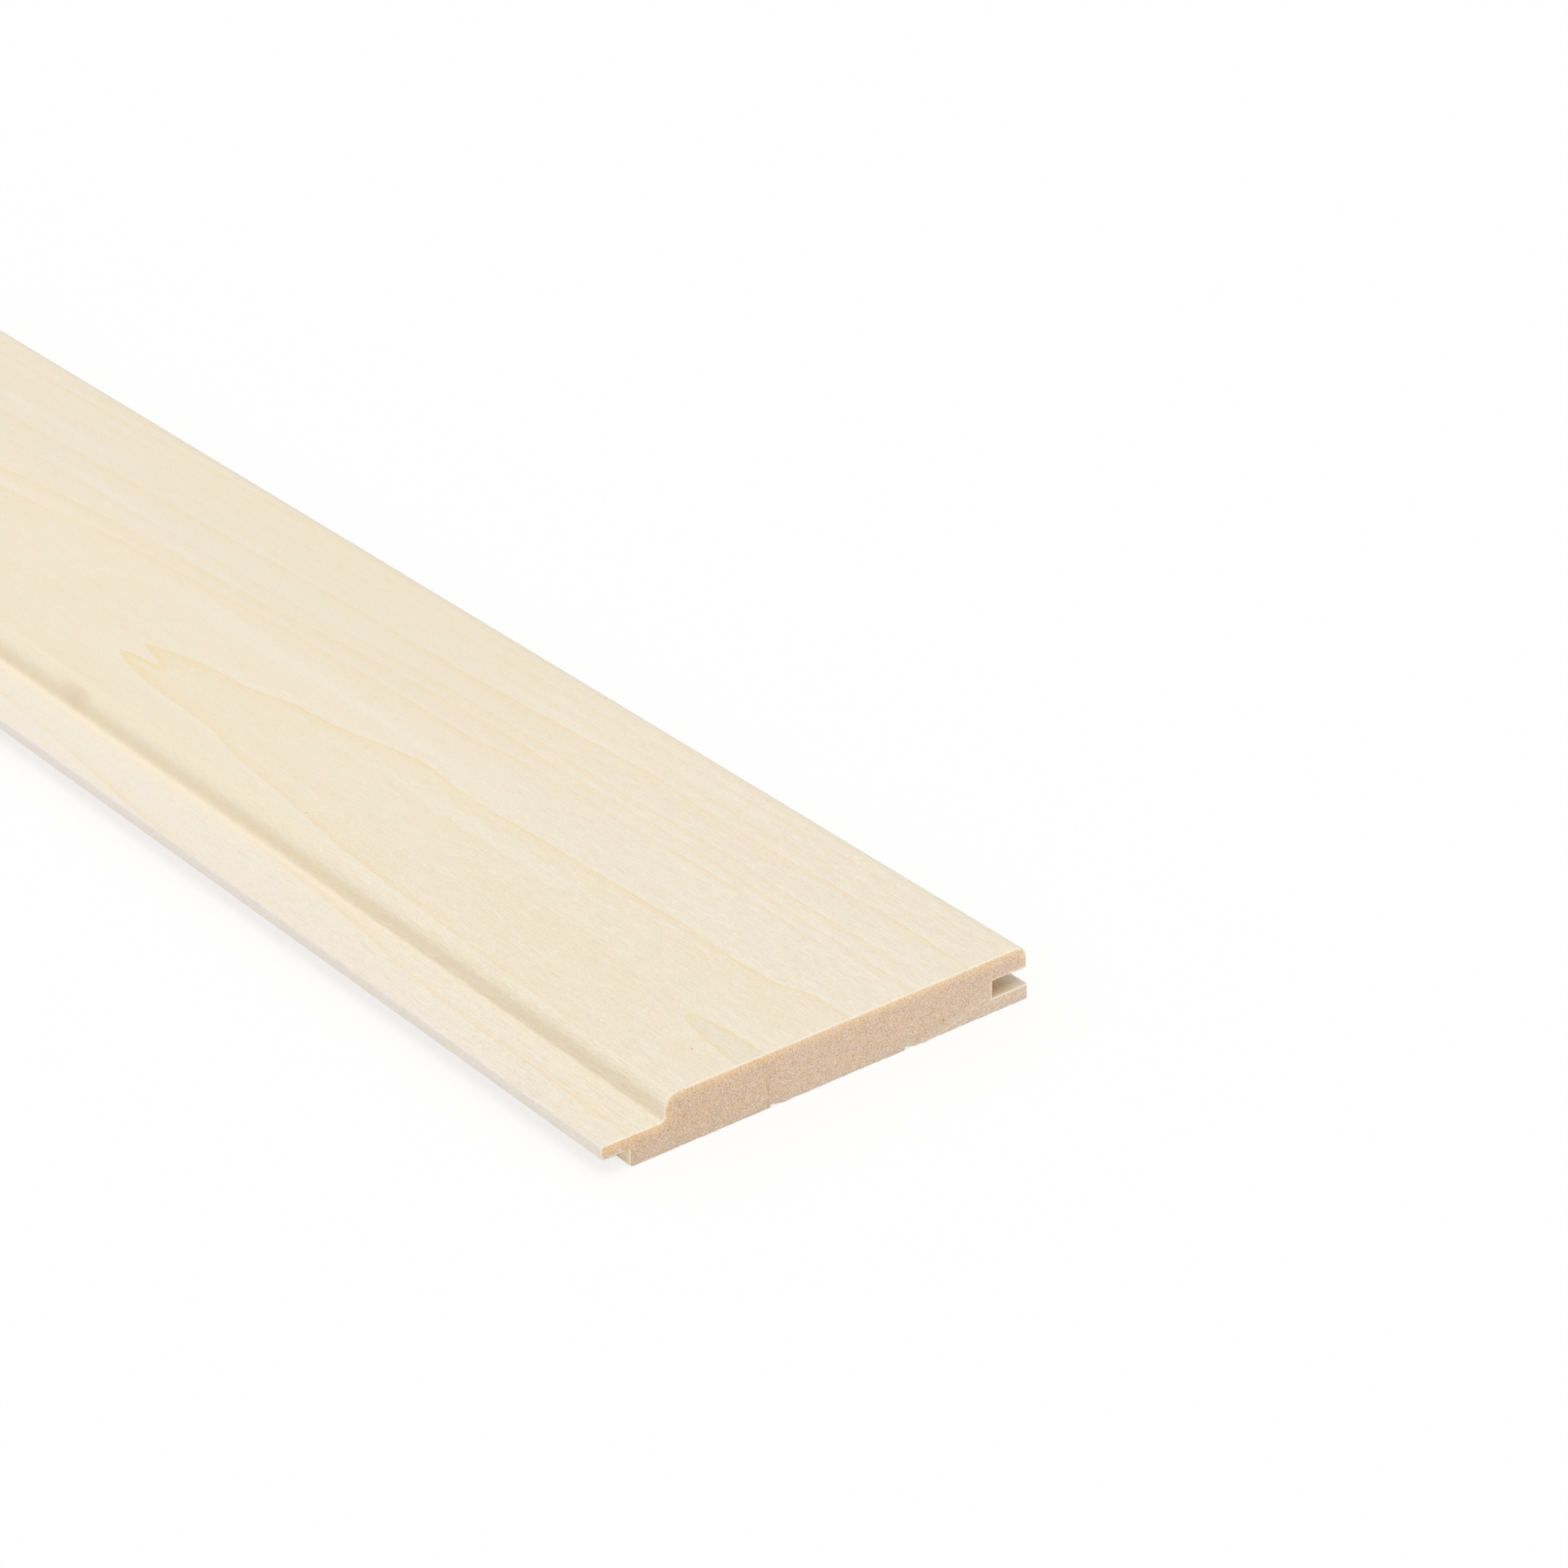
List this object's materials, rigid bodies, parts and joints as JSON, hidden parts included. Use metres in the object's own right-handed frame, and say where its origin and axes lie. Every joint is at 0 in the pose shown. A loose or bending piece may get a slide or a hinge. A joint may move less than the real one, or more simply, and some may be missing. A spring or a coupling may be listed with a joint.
{
  "type": "tongue and groove board",
  "caption": "Solid wood lining board with a tongue and nailing lip on one long edge, a groove on the other and relief nicks in the back.",
  "frame": {"origin": "middle of the back, on the surface that the board lies on", "axes": "+X along the length, +Y towards the groove, -Y towards the tongue, +Z out of the show face"},
  "size_m": [1.8, 0.125, 0.015],
  "materials": {
    "pale_wood": "planed, untreated"
  },
  "bodies": {
    "root": {"tongue_and_groove_board": "pale_wood"}
  },
  "joints": []
}
